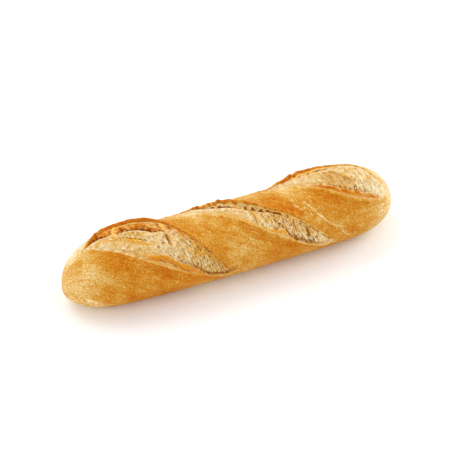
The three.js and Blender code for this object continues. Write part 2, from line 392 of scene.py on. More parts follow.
# Smooth noise from -1 to 1, with a grain of the given sizes along each coordinate.
def cloud(space, sizes, salt):
    bases, parts = intoCells(space, sizes)
    parts = [part**3 * (part * (part * 6 - 15) + 10) for part in parts]
    total = 0
    for corner in itertools.product((0, 1), repeat=len(space)):
        weight = 1
        for step, part in zip(corner, parts):
            weight = weight * (part if step else 1 - part)
        total = total + weight * scramble([base + step for base, step in zip(bases, corner)], salt)
    return total * 2 - 1


# Several clouds on top of each other, each given as its height, size and salt.
def clouds(space, layers, k=0):
    return sum(height * cloud(space, size, salt + k) for height, size, salt in layers)


# A share that varies around base.
def patchy(base, strength, space, sizes, salt):
    return clamp(base + strength * cloud(space, sizes, salt))


# Distance to the nearest of a scatter of spots, one in each cell, in cells.
def scatter(space, sizes, salt):
    bases, parts = intoCells(space, sizes)
    nearest = np.inf
    for corner in itertools.product((-1, 0, 1), repeat=len(space)):
        cells = [base + step for base, step in zip(bases, corner)]
        gap = 0
        for axis, part in enumerate(parts):
            gap = gap + (corner[axis] + scramble(cells, salt + 50 * (axis + 1)) - part) ** 2
        nearest = np.minimum(nearest, gap)
    return np.sqrt(nearest)


def ridges(noise):
    return 1 - 2 * np.abs(noise)


# Distance in mm from a line with the given corners.
def fromLine(x, s, corners):
    nearest = np.inf
    for (x0, s0), (x1, s1) in zip(corners, corners[1:]):
        dx, ds = x1 - x0, s1 - s0
        share = clamp(((x - x0) * dx + (s - s0) * ds) / (dx * dx + ds * ds))
        nearest = np.minimum(nearest, np.hypot(x - x0 - share * dx, s - s0 - share * ds))
    return nearest


# Distance in mm inside a closed outline, negative outside it.
def insideCorners(x, s, corners):
    closed = corners + corners[:1]
    inside = np.zeros(x.shape, bool)
    for (x0, s0), (x1, s1) in zip(closed, closed[1:]):
        crossing = (s0 > s) != (s1 > s)
        inside ^= crossing & (x < mix(x0, x1, (s - s0) / (s1 - s0)))
    return fromLine(x, s, closed) * np.where(inside, 1, -1)


# Mean over a window of cells each way, on a grid of rings and lines.
def blur(field, cells):
    count = 2 * cells + 1
    for axis in (0, 1):
        padding = [(0, 0), (0, 0)]
        padding[axis] = (cells + 1, cells)
        total = np.cumsum(np.pad(field, padding, "edge"), axis=axis)
        ahead = np.take(total, range(count, total.shape[axis]), axis)
        behind = np.take(total, range(0, total.shape[axis] - count), axis)
        field = (ahead - behind) / count
    return field


# Size of the cross-section, from 0 at a tip to 1 past the dome.
def fullness(x):
    left, right = loaf["leftEnd"], loaf["rightEnd"]
    dome = np.where(x < 0, left["dome"], right["dome"])
    power = np.where(x < 0, left["power"], right["power"])
    intoDome = 1 - (loaf["length"] / 2 - np.abs(x)) / dome
    return np.sqrt(np.maximum(0, 1 - clamp(intoDome) ** power))


# Place of a point that lies out of the plain crust by so many mm, as a list of x, y and z.
def loafPoint(x, angle, out):
    size = fullness(x)
    sine = np.sin(np.radians(angle))
    cosine = np.cos(np.radians(angle))
    sink = np.where(x < 0, loaf["leftEnd"]["sink"], loaf["rightEnd"]["sink"])
    depth = np.where(cosine > 0, loaf["topRise"], loaf["underDrop"])
    out = out * np.minimum(1, size * loaf["tipRelief"])
    y = loaf["shift"] + loaf["bend"] * (2 * x / loaf["length"]) ** 2 - sine * (loaf["width"] / 2 * size + out)
    z = loaf["axisHeight"] - sink * (1 - size) + cosine * (depth * size + out)
    return [x + 0 * y, y, z]


# Place along a score: 0 at its left tip, 1 at its right one.
def along(score, x):
    return (x - score["from"][0]) / (score["to"][0] - score["from"][0])


def toMm(degrees):
    return np.radians(degrees) * loaf["crestRadius"]


def toDegrees(length):
    return np.degrees(length / loaf["crestRadius"])


# Angle of a score's front lip, and of the line that runs on from it beyond the tips.
def frontAngle(score, x):
    inside = clamp(along(score, x))
    bent = inside + score["bow"] * inside * (1 - inside) - score["swing"] * np.sin(2 * math.pi * inside)
    angle = mix(score["from"][1], score["to"][1], bent)
    angle = angle - score["hook"] * rise(inside, 0.83, 0.97) - score["turnUp"] * fall(inside, 0, 0.1)
    beyond = np.minimum(0, x - score["from"][0]) + np.maximum(0, x - score["to"][0])
    return angle + loaf["helix"] * beyond


# Angle between a score's front lip and its ear.
def bandAngle(score, x):
    t = clamp(along(score, x))
    opening = score["open"] * np.maximum(0, np.sin(math.pi * t ** score["skew"])) ** score["full"]
    opening = opening * (1 - score["pinch"] * rise(t, 0.8, 0.9))
    beyond = np.maximum(0, np.maximum(score["from"][0] - x, x - score["to"][0]))
    return np.hypot(opening, loaf["tipBand"]) + loaf["bandSpread"] * beyond


# How far a score has opened: 0 at its tips, and 1 between them.
def shutAt(t):
    return rise(t, 0, 0.1) * fall(t, 0.9, 1)


# Height of the ear, with a ragged edge where ragged is 1.
def earHeight(score, x, ragged=0):
    t = along(score, x)
    ends = rise(t, 0, 0.12) * fall(t, 0.8, 1)
    tail = score["tail"] * (1 - 0.6 * t)
    height = score["ear"] * ends * np.maximum(bell(t, score["earAt"], score["earSpread"]), tail)
    jags = clouds([x], loaf["jags"]) * clamp(height / 2.2) * mix(1, 0.45, rise(t, 0, 0.4))
    return height + ragged * score["jag"] * jags


def lipHeight(t):
    return 1.1 * shutAt(t) * rise(t, 0, 0.5)


# Distances in mm behind a score's ear and in front of its lip, for a place on the crust.
def aroundScore(score, x, angle):
    front = frontAngle(score, x)
    near = angle + 360 * np.round((front - angle) / 360)
    return toMm(front - bandAngle(score, x) - near), toMm(near - front)


# How far a score lifts the plain crust behind its ear and in front of its lip.
def liftOutside(score, x, angle):
    t = along(score, x)
    behind, before = aroundScore(score, x, angle)
    ear = earHeight(score, x) * fall(behind, 0, score["earReach"]) ** 1.3
    lip = lipHeight(t) * fall(before, 0, loaf["lipReach"])
    lift = np.where(behind > 0, ear, np.where(before > 0, lip, 0))
    return np.where((t > 0) & (t < 1), lift, 0)


def liftOfOthers(score, x, angle):
    return sum(liftOutside(other, x, angle) for other in scores if other is not score)


# A closed shape with a pole at each end, made of a sheet whose long edges are joined and whose ends are drawn
# together. Gives the mesh, and each vertex's ring along it and line round it.
def newSpindle(name, rings, lines):
    bm = bmesh.new()
    bmesh.ops.create_grid(bm, x_segments=lines, y_segments=rings, size=1)
    closeTo = 1e-4
    joined = [vert for vert in bm.verts if max(abs(vert.co.x), abs(vert.co.y)) > 1 - closeTo]
    for vert in joined:
        vert.co.x = -1
    bmesh.ops.remove_doubles(bm, verts=joined, dist=closeTo)
    mesh = bpy.data.meshes.new(name)
    bm.to_mesh(mesh)
    bm.free()
    mesh.shade_smooth()
    flat = np.empty(len(mesh.vertices) * 3)
    mesh.vertices.foreach_get("co", flat)
    flat = (flat.reshape(-1, 3) + 1) / 2
    ring = np.rint(flat[:, 1] * rings).astype(int)
    line = np.rint(flat[:, 0] * lines).astype(int) % lines
    return mesh, ring, line


def writeAttribute(mesh, name, values):
    attribute = mesh.attributes.new(name, "FLOAT" if values.ndim == 1 else "FLOAT_VECTOR", "POINT")
    attribute.data.foreach_set("value" if values.ndim == 1 else "vector", values.ravel())


def newObject(name, data):
    made = bpy.data.objects.new(name, data)
    bpy.context.scene.collection.objects.link(made)
    return made


def addPiece(mesh, points, material):
    points[:, 2] = np.maximum(0, points[:, 2])  # the loaf stands on its flat underside
    mesh.vertices.foreach_set("co", (points * mm).ravel())
    mesh.update()
    mesh.materials.append(material)
    piece = newObject(mesh.name, mesh)
    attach(piece, "root")
    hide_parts("loaf")
    return piece


crust = {
    "rings": 470,
    "bandLines": 26,  # across each score
    "gapLines": (60, 38, 36),  # in the plain crust in front of the left, middle and right score
    "hiddenLines": range(9, 19),  # the ones across a score that the crumb covers
    "beading": [(0, 0.3), (3, 0.8), (5, 1), (8, 0.8), (10, 0.6), (11, 0), (30, 0)],  # how beaded each one is
    "crowding": 0.35,  # how much the rings crowd towards the ends
    "trough": 8,  # depth of the hidden floor under the crumb
    "swells": [(0.2, 17, 1), (0.08, 8, 2)],  # clouds, each as height, size and salt
    "dimples": [(0.07, 2.6, 3), (0.035, 1.3, 4)],
    "blisters": 0.2,
    # the ear's rolled edge: in front of its edge and below its crest, in shares of its thickness
    "earRoll": [(-1.6, 0), (-1.1, 0), (-0.7, 0.01), (-0.42, 0.05), (-0.2, 0.14), (-0.03, 0.3), (0.06, 0.5),
                (0.03, 0.72), (-0.08, 0.9), (-0.4, 1.03), (-0.9, 1.1)],
    # the front lip's rolled edge: mm in front of the score's edge, and mm below the lip
    "lipRoll": [(-2.2, 3.2), (-1.5, 1.7), (-1, 0.7), (-0.6, 0.2), (-0.2, 0), (0.4, 0), (1, 0), (1.7, 0)],
    "bake": 0.56,
    "bakeClouds": [(0.09, 26, 11), (0.06, 9, 12)],
    # paleness along the loaf, taken off its bake
    "pale": [(-135, 0.25), (-130, 0.25), (-117, 0.18), (-104, 0.02), (-91, -0.07), (-65, -0.06), (-45, -0.06),
             (-26, 0.05), (0, 0.05), (26, 0), (45, -0.02), (65, 0.06), (85, 0.05), (104, 0.1), (117, 0.28),
             (126, 0.43), (130, 0.45), (135, 0.42)],
    # a pale crease in the crust and fainter ones: how pale each is, and its corners as (x, angle)
    "creases": [
        (1, [(54, 20), (56.4, 26.5), (59.1, 34.8), (62.4, 45), (66.1, 55.5), (69.9, 66), (74.6, 71.8),
             (80.5, 79)]),
        (0.9, [(80, 86), (82.1, 92.2), (84.4, 99), (88, 104.5), (92.5, 103)]),
        (0.9, [(46, 22), (50, 30), (55.6, 33)]),
        (0.4, [(-4.4, 28.2), (2.1, 43.8), (9.9, 60)]),
        (0.4, [(17.6, 58.5), (19.6, 68.5), (22.9, 81)]),
        (0.3, [(-14, 40), (-9, 55), (-3, 68)]),
    ],
    "crack": [(-13, 93), (-10, 95), (-7, 97.5), (-3, 107)],  # runs on from the left score's right tip
    "darkPatch": (43.5, 21.5, 4.6),  # x, angle and radius of a darker patch
    "veined": (54, 34, 15, 17),  # x, angle and spreads of both of a browner patch with a net of pale veins
}


def rindAt(score, t):
    return follow(score["rind"], t) * mix(0.4, 1, shutAt(t))


# Angle and lift of one line of the crust's band across a score.
def bandLine(score, x, j):
    t = along(score, x)
    front = frontAngle(score, x)
    width = toMm(bandAngle(score, x))
    rind = rindAt(score, t)
    earRoll, lipRoll = crust["earRoll"], crust["lipRoll"]
    troughLines = crust["bandLines"] - len(earRoll) - len(lipRoll)
    if j < len(earRoll):
        across, below = earRoll[j]
        s = across * rind
        behind = earHeight(score, x) * fall(-s, 0, score["earReach"]) ** 1.3
        h = mix(behind, earHeight(score, x, 1), rise(across, -1.6, -0.4)) - below * rind
    elif j < len(earRoll) + troughLines:
        share = (j - len(earRoll)) / (troughLines - 1)
        s = mix(-0.6 * rind, width - 3, share)
        h = 0 * x - crust["trough"]
    else:
        across, below = lipRoll[j - len(earRoll) - troughLines]
        s = width + across
        h = lipHeight(t) * fall(across, 0, loaf["lipReach"]) - below
    even = width * j / (crust["bandLines"] - 1)
    s = mix(even, s, shutAt(t))
    h = h * shutAt(t) + liftOfOthers(score, x, front - toDegrees(width - s))
    return front - toDegrees(width - s), h


# The crust's lines as grids: their angles and lift, and where they are hidden, beaded and golden.
def layCrust(x, lines):
    angle, out, inner, beaded, golden = (np.zeros((len(x), lines)) for each in range(5))
    column = 0
    for k in (2, 1, 0):  # the right score has the lowest angles
        score = scores[k]
        t = along(score, x)
        for j in range(crust["bandLines"]):
            angle[:, column], out[:, column] = bandLine(score, x, j)
            inner[:, column] = shutAt(t) * (j in crust["hiddenLines"])
            beaded[:, column] = follow(crust["beading"], j) * score["beads"] * mix(1.4, 1, rise(t, 0.2, 0.3))
            # golden band at the lower edge of the ear's roll: partly the cut edge's own colour, partly a
            # painted highlight where the roll faces down into shade
            golden[:, column] = score["earGold"] * bell(j, 8, 1.8) * rise(t, 0, 0.15) * fall(t, 0.45, 0.6)
            column += 1
        start = angle[:, column - 1]
        following = scores[(k - 1) % 3]
        end = bandLine(following, x, 0)[0] + (360 if k == 0 else 0)
        for j in range(crust["gapLines"][k]):
            here = mix(start, end, (j + 1) / (crust["gapLines"][k] + 1))
            angle[:, column] = here
            out[:, column] = sum(liftOutside(each, x, here) for each in scores)
            column += 1
    return angle, out, inner, beaded, golden


# How strong the crust's creases, its crack and its veins are, and how much the veined patch counts.
def crustMarks(x, angle, bare):
    def gapTo(corners, wobble):
        return fromLine(x, toMm(angle) + wobble, [(cornerX, toMm(turn)) for cornerX, turn in corners])

    wobble = 0.7 * cloud(bare, 3, 9)
    crease = 0
    for paleness, corners in crust["creases"]:
        crease = np.maximum(crease, paleness * bell(gapTo(corners, wobble), 0, 0.6))
    crack = bell(gapTo(crust["crack"], 0.6 * cloud(bare, 1.6, 18)), 0, 0.55)
    veinX, veinAngle, veinLength, veinTurn = crust["veined"]
    netted = bell(x, veinX, veinLength) * bell(angle, veinAngle, veinTurn)
    net = rise(ridges(cloud(bare, 4.2, 58)), 0.8, 1) + 0.7 * rise(ridges(cloud(bare, 2.4, 59)), 0.78, 0.98)
    vein = rise(ridges(cloud(bare, 6, 16)), 0.86, 1) * ease(0.1 + cloud(bare, 24, 17))
    return crease, crack, np.maximum(vein, 1.9 * net * netted), netted


def buildCrust(material):
    lines = 3 * crust["bandLines"] + sum(crust["gapLines"])
    mesh, ring, line = newSpindle("crust", crust["rings"], lines)
    even = np.linspace(-1, 1, crust["rings"] + 1)
    x = loaf["length"] / 2 * mix(even, np.sin(math.pi / 2 * even), crust["crowding"])
    angle, out, inner, beaded, golden = layCrust(x, lines)
    x = x[:, None] + 0 * angle
    bare = loafPoint(x, angle, 0)
    blister = ease(1 - scatter(bare, 5.5, 7) / 0.16) * (cloud(bare, 14, 8) > 0.1)
    beads = cloud([x, angle], (1.6, 9), 15) * beaded
    crease, crack, vein, netted = crustMarks(x, angle, bare)
    out += clouds(bare, crust["swells"])
    out += (clouds(bare, crust["dimples"]) + crust["blisters"] * blister) * (1 - inner)
    out += 0.35 * crease - 0.35 * crack + 0.3 * beads
    patchX, patchAngle, patchRadius = crust["darkPatch"]
    patchGap = np.hypot(x - patchX, toMm(angle - patchAngle)) + 1.2 * cloud(bare, 3, 13)
    bake = bakeOf(x, angle, bare) + 0.16 * fall(patchGap, patchRadius - 1.5, patchRadius)
    # the crack is darkened with painted shade; beads and the netted patch are browner crust
    bake += 0.16 * beads + 0.2 * crack + 0.1 * netted
    # golden: partly the cut edge's colour, partly painted highlight
    bake -= 0.4 * crease + 0.2 * blister + 0.3 * golden + 0.2 * vein
    points = np.stack(loafPoint(x, angle, out), axis=-1)
    turned = 2 * math.pi * np.arange(lines)[None, :] / lines + 0 * x
    flow = np.stack([27 * np.cos(turned), 27 * np.sin(turned), 0.12 * x], axis=-1)
    for name, field in (("bake", bake), ("inner", inner), ("flow", flow)):
        writeAttribute(mesh, name, field[ring, line])
    return addPiece(mesh, points[ring, line], material)


# How dark the crust is baked, from 0 at its palest to 1.
def bakeOf(x, angle, bare):
    bake = crust["bake"] + clouds(bare, crust["bakeClouds"]) - follow(crust["pale"], x)
    rims = 0
    for score in scores:
        t = along(score, x)
        behind, before = aroundScore(score, x, angle)
        opened = shutAt(t)
        shown = rise(t, score["rimFrom"], score["rimFrom"] + 0.05) * np.where(t < 0.5, 1, opened) ** 0.3
        reach = 1.8 + 0.6 * earHeight(score, x)
        rim = shown * fall(behind, 0, reach) * (behind > -4) * (before < 0)
        rims = np.maximum(rims, rim)
        streaked = 0.6 + cloud([x - 0.5 * behind, 0.22 * (x + behind)], 2.6, 14)
        burnt = score["burnt"] * rise(t, 0.35, 0.5) * fall(t, 0.87, 1.02)
        neckX, neckAcross, spreadX, spreadAcross, paleness = score["neck"]
        bake += rim * follow(score["scorch"], t) + burnt * streaked * bell(behind, 7, 7)
        bake += 0.1 * rise(t, 0, 0.35) * opened * rise(before, 0, 2) * fall(before, 3, 14)
        bake -= 0.1 * opened * fall(before, 0, 1.3) * (before > -3)
        bake -= paleness * bell(x, neckX, spreadX) * bell(before, neckAcross, spreadAcross)
    turned = (angle + 180) % 360 - 180
    under = rise(np.abs(turned), 118, 148)
    # partly flour, partly painted sheen: the crust is paler on its upper back, where the lamps behind it
    # glance off
    overTopSheen = fall(turned, -30, -2) * rise(turned, -130, -70) * rise(fullness(x), 0.2, 0.7)
    overTopSheen = overTopSheen * (1 - 0.7 * rise(x, 95, 120))
    # painted shade: the crust is made browner on its front side, most near the left end
    towardsFront = rise(angle, 55, 95) * fall(angle, 120, 150)
    frontShade = 0.06 * fall(x, -35, -15) * rise(x, -105, -85) + 0.24 * bell(x, -115, 10)
    return bake - 0.12 * under + frontShade * towardsFront - 0.17 * overTopSheen * (1 - rims)


crumb = {
    "rings": 420,
    "faceLines": 30,
    "crownLines": 158,
    "underLines": 28,
    # lines tucked under the front lip: mm in front of the score's edge, mm below the lip, share of relief
    "tuck": [(-0.3, 0.5, 0.6), (0.2, 1, 0.2), (0.7, 1.7, 0), (1, 2.6, 0)],
    "under": 6.6,  # depth of the hidden underside
    "widthForDetail": 14,  # small forms shrink where a score is narrower than this
    "rightPart": (0.56, 0.7),  # from where to where along a score the notch below its rim closes
    # heights of the grain
    "lumps": 0.4,
    "fibres": 0.46,
    "pores": 0.42,
    # clouds, each as height, size and salt
    "warp": [(1.3, 5, 20), (0.5, 2, 31)],
    "lump": [(1, 5.5, 23), (0.7, 2.4, 24)],
    "knobbly": [(0.4, (1.8, 2.4), 47)],
    "crumbled": [(1.1, (0.9, 0.6), 62), (0.5, (3.2, 2), 63)],
}


# The crumb's height before it is torn, its share of bowl, and the distance behind the crest.
def crumbHeight(score, t, s, width, floorAt):
    crestAt = np.minimum(follow(score["crestAt"], t), 0.5 * width)
    crest = follow(score["crestHeight"], t)
    dip = follow(score["dip"], t)
    wall = np.minimum(1.1, 0.6 * np.maximum(crestAt - floorAt, 0.1))
    share = clamp((s - floorAt) / np.maximum(crestAt - wall - floorAt, 0.1))
    bowl = mix(follow(score["bowl"], t), crest - dip, share**0.8)
    climb = rise(s, crestAt - wall, crestAt)
    beyond = clamp((s - crestAt) / np.maximum(width - crestAt, 0.1))
    body = mix(crest, lipHeight(t) - 0.25, beyond) + follow(score["swell"], t) * np.sin(math.pi * beyond)
    return np.where(s < crestAt, mix(bowl, crest, climb), body), 1 - climb, crestAt - s


# The torn face under the ear, from its rim at w = 0 down to its foot at w = 1. A notch below the rim closes
# towards the score's right end.
def faceProfile(score, t, w, rind, small, top, floorAt, floor):
    slope = score["faceSlope"]
    drop = top - floor
    notch = small * mix(1, score["notchEnd"], rise(t, *crumb["rightPart"]))
    knots = [
        # w, mm in front of the ear's edge, height
        (0, -0.9 * rind, top - 0.3 * rind),
        (0.12, -0.2 * rind, top + 0.06 * rind),
        (0.2, 0.12 * rind, top + 0.2 * rind),
        (0.28, 0.85 * small, top - 0.1 * notch),
        (0.35, 0.8 * small, top - 0.9 * notch),
        (0.42, mix(0.2, 0.8, slope) * small, top - 1.2 * notch),
        (0.62, mix(0.15, 1.05, slope) * small, top - 0.45 * drop - 0.4 * notch),
        (0.85, mix(0.5, 1.4, slope) * small, top - 0.85 * drop),
        (1, floorAt, floor),
    ]
    s, h = 0, 0
    for (w0, s0, h0), (w1, s1, h1) in zip(knots, knots[1:]):
        inside = (w >= w0) & (w <= w1 if w1 == 1 else w < w1)
        share = clamp((w - w0) / (w1 - w0))
        s = s + inside * mix(s0, s1, share)
        h = h + inside * mix(h0, h1, share)
    return s, h


# The torn surface of one score before it gets its relief, as grids with a row for each ring and a column for
# each line: down the face under the ear, over the crown, and under the front lip. s is the distance in mm in
# front of the ear's edge, f behind the lip's edge, and h over the plain crust.
def layTear(k):
    score = scores[k]
    x = np.linspace(score["from"][0] - 0.5, score["to"][0] + 0.5, crumb["rings"] + 1)[:, None]
    t = along(score, x)
    width = toMm(bandAngle(score, x))
    small = clamp(width / crumb["widthForDetail"])
    rind = rindAt(score, t)
    top = earHeight(score, x, 1) - rind
    floorAt = np.minimum((score["footAt"] + 0.5 * score["faceSlope"]) * small, 0.25 * width)
    floor = crumbHeight(score, t, floorAt, width, floorAt)[0]
    w = np.linspace(0, 1, crumb["faceLines"])[None, :]
    faceS, faceH = faceProfile(score, t, w, rind, small, top, floorAt, floor)
    share = np.linspace(0, 1, crumb["crownLines"] + 1)[None, 1:]
    crownS = mix(floorAt, width - 0.8 * small, share)
    crownH, inBowl, behindCrest = crumbHeight(score, t, crownS, width, floorAt)
    tuckAcross, tuckBelow, tuckShown = (np.array(column)[None, :] for column in zip(*crumb["tuck"]))

    def sideBySide(face, crown, tuck):
        counts = (crumb["faceLines"], crumb["crownLines"], len(crumb["tuck"]))
        parts = [np.broadcast_to(part, (len(x), count)) for part, count in zip((face, crown, tuck), counts)]
        return np.concatenate(parts, axis=1)

    s = sideBySide(faceS, crownS, width + tuckAcross * small)
    h = sideBySide(faceH, crownH, lipHeight(t) - tuckBelow)
    angle = frontAngle(score, x) - toDegrees(width - s)
    h = h + liftOfOthers(score, x + 0 * s, angle)
    return SimpleNamespace(
        k=k,
        score=score,
        x=x + 0 * s,
        t=t + 0 * s,
        s=s,
        f=width - s,
        h=h,
        width=width,
        small=small,
        opened=shutAt(t),
        bare=loafPoint(x, angle, h),
        onFace=sideBySide(fall(w, 0.75, 1), 0, 0),
        fromRim=sideBySide(w, 1, 1),
        rimLine=sideBySide(bell(w, 0.27, 0.07), 0, 0),
        bowl=sideBySide(rise(w, 0.45, 0.75), inBowl, 0),
        behindCrest=sideBySide(behindCrest[:, :1] + floorAt - faceS, behindCrest, -9),
        shown=sideBySide(rise(w, 0.12, 0.22), 1, tuckShown),
    )


# The grain of the tear: fibres, pores and lumps.
def addGrain(tear):
    score, k, x, s, bare = tear.score, tear.k, tear.x, tear.s, tear.bare
    fibre = score["fibreLength"]
    tear.warp = clouds(bare, crumb["warp"], k)
    tear.lump = clouds(bare, crumb["lump"], k)
    run = [x - score["lean"] * s + tear.warp, s]
    broad = ridges(cloud(run, (1.8, 9 * fibre), 21 + k))
    fine = ridges(cloud(run, (0.95, 4.4 * fibre), 22 + k))
    web = ridges(cloud(bare, 1.5, 29 + k))
    porous = patchy(0.35, 1.1, bare, 8, 27 + k)
    pore = ease(1 - scatter([run[0], s * 0.45], 2.5, 25 + k) / 0.36)
    pinhole = ease(1 - scatter(run, (1.5, 2.2), 26 + k) / 0.34)
    tear.relief = crumb["lumps"] * tear.lump + crumb["fibres"] * (0.48 * broad + 0.46 * fine + 0.4 * web)
    tear.relief -= score["porous"] * crumb["pores"] * (1.2 * pore + 0.3 * pinhole) * porous
    tear.relief += 0.1 * cloud(bare, 0.75, 28 + k)
    tear.toast = clamp(0.7 * fine + 0.4 * web - 0.42 + 0.6 * cloud(bare, 3.5, 30 + k))
    tear.ragged = 0.9 * cloud([x], 2.4, 40 + k) + 0.5 * cloud([x, s], 1.1, 41 + k)
    tear.grit = 0.75 + 1.2 * cloud([x, s], 0.9, 33 + k)
    tear.knobs = 0.55 + 0.75 * cloud([x], 1.7, 44 + k)


# Smooth skin with fine streaks along the front lip, a patch of it further back, and a toasted ridge.
def addSkin(tear):
    score, k, x, s, t, bare = tear.score, tear.k, tear.x, tear.s, tear.t, tear.bare
    edgeGap = tear.f - follow(score["skinEdge"], t) + tear.ragged
    tear.skin = ease(-edgeGap / 0.5) * follow(score["skinFade"], t)
    tear.tan = 0 * x
    if score["skinPatch"]:
        tear.tan = rise(insideCorners(x, s, score["skinPatch"]) + 0.5 * cloud([x, s], 2.2, 45), 0, 0.6)
    tear.streak = ridges(cloud([x * 0.16 + 0.25 * tear.ragged, tear.f], (1, 0.9), 42 + k))
    smooth = 0.12 * tear.lump + 0.07 * cloud(bare, 1.4, 43 + k) + 0.1 * tear.streak
    pleats = ridges(cloud([x - 0.1 * s + 0.5 * tear.warp, s], (2, 14), 35))
    folded = 0.2 * pleats + 0.1 * tear.lump + 0.25 * tear.relief
    tear.relief = mix(mix(tear.relief, smooth, tear.skin), folded, tear.tan)
    streaky = clamp(0.4 * tear.streak + 0.7 * cloud(bare, 1.1, 32 + k) - 0.1) * rise(t, 0.1, 0.22)
    tear.toast = mix(tear.toast, score["skinToast"] * streaky, tear.skin) * (1 - 0.7 * tear.tan)
    ridge = follow(score["ridge"], t)
    tear.relief += ridge * (0.8 * tear.knobs * bell(edgeGap, -0.2, 0.8) - 0.4 * bell(edgeGap, 1.6, 1))
    tear.toast += 3 * ridge * tear.knobs * tear.grit * bell(edgeGap, -0.3, 1.2)
    tear.behindRidge = 0.8 * clamp(ridge) * rise(edgeGap, 0.6, 2.1)


# The torn inner edge of the front lip, scorched and with painted shade just under it, the hollow below it
# with its painted shadow, and the golden crumb next to the ear.
def addTornLip(tear):
    score, k, x, s, t, f = tear.score, tear.k, tear.x, tear.s, tear.t, tear.f
    gap = f - follow(score["tornEdge"], t) + 0.7 * tear.ragged
    strength = follow(score["torn"], t)
    spread = score["toastSpread"]
    tear.strip = fall(gap, -0.6, 0) * clamp(2 * strength)
    tear.relief = mix(tear.relief, 0.35 + 0.1 * tear.streak + 0.06 * tear.lump, tear.strip * 0.85)
    tear.relief += strength * (0.5 + 0.8 * tear.knobs) * (0.7 + 0.3 * tear.grit) * bell(gap, -0.6, 0.95)
    drop = follow(score["tornDrop"], t) * fall(gap, 1.8, 6.8)
    tear.relief -= drop * rise(gap, 0, 2)
    under = drop * rise(gap, -0.2, 0.5) * fall(gap, 1, 3.6) * rise(t, 0.55, 0.7)
    fringe = strength * bell(gap, 0.9, 0.7) * patchy(0.5, 0.9, [x], 1.4, 61 + k)
    floury = follow(score["flour"], t) * patchy(0.8, 0.8, tear.bare, 2.5, 36)
    tear.flour = clamp(floury * (1 - tear.strip) + 0.8 * fringe * (1 - under))
    # painted shadow in the hollow behind the torn edge
    tear.hollow = 0.6 * under * patchy(0.7, 0.8, [x, f], (2.6, 1.2), 54)
    tear.toast += 2.4 * strength * tear.grit * (0.6 + 0.6 * tear.knobs) * bell(gap, -0.7 * spread, spread)
    nearEar = bell(s, 0, 4.5) * patchy(0.4, 1.2, tear.bare, 1.4, 38)
    tear.toast += 0.6 * score["earGold"] * tear.opened * nearEar
    tear.gold = clamp(follow(score["gold"], t) * ease(1.3 - s / 8 + 0.2 * tear.lump))
    tear.lipLine = bell(f, 0.1, 0.8) * tear.opened * rise(t, 0, 0.25)
    # just inside the torn edge: partly scorched crust, partly painted shade under the edge; the specks along
    # the strip are scorched
    lipEdge = strength * bell(gap, -0.8, 1.2) * patchy(0.85, 0.9, [x], 1.9, 60 + k)
    specks = patchy(0.7, 0.9, [x, f], (2.2, 1.2), 39 + k)
    embers = tear.strip * bell(gap, -2.1 * spread, 1.2) * specks
    tear.ember = clamp(score["lipScorchAndShade"] * lipEdge + score["embers"] * embers)


# Single folds, pits, slits and strings, with painted shade in their hollows.
def addMarks(tear):
    score, x, s, ragged = tear.score, tear.x, tear.s, tear.ragged
    tear.foldLine = 0 * x
    for fold in score["folds"]:
        across = [corner[1] for corner in fold["line"]]
        gap = fromLine(x + 0.4 * ragged, s, fold["line"])
        side = np.interp(s, across, [corner[0] for corner in fold["line"]])
        left = bell(x - side, -1.7, 1.2) * rise(s, fold["from"], fold["from"] + 3)
        left = left * fall(s, across[-1] + 1, across[-1] + 3)
        tear.relief += fold["height"] * bell(gap, 0, 0.65) - fold["hollow"] * left
        tear.toast += bell(gap, 0, 0.6) * (1 - 0.55 * tear.tan)
        tear.foldLine = np.maximum(tear.foldLine, bell(gap, 0, 0.7))
        # painted shade in the hollow beside the fold
        tear.hollow = np.maximum(tear.hollow, 0.75 * left * clamp(fold["hollow"]))
    for pitX, pitS, radius in score["pits"]:
        gap = np.hypot(x - pitX - 0.5 * score["lean"] * (s - pitS), s - pitS) / radius
        pit = ease(1.3 - gap - 0.5 * cloud([x, s], 1.2, 34))
        tear.relief -= 0.7 * radius * pit
        # painted shade in the pit
        tear.hollow = np.maximum(tear.hollow, 0.45 * pit)
    for corners in score["slits"]:
        slit = bell(fromLine(x, s, corners) + 0.3 * np.abs(ragged), 0, 0.6)
        tear.relief -= 0.6 * slit
        # painted shade in the slit
        tear.hollow = np.maximum(tear.hollow, 0.75 * slit)
    for corners in score["strings"]:
        string = bell(fromLine(x + 0.3 * ragged, s, corners), 0, 0.4)
        tear.relief += 0.5 * string
        tear.toast += 0.5 * string
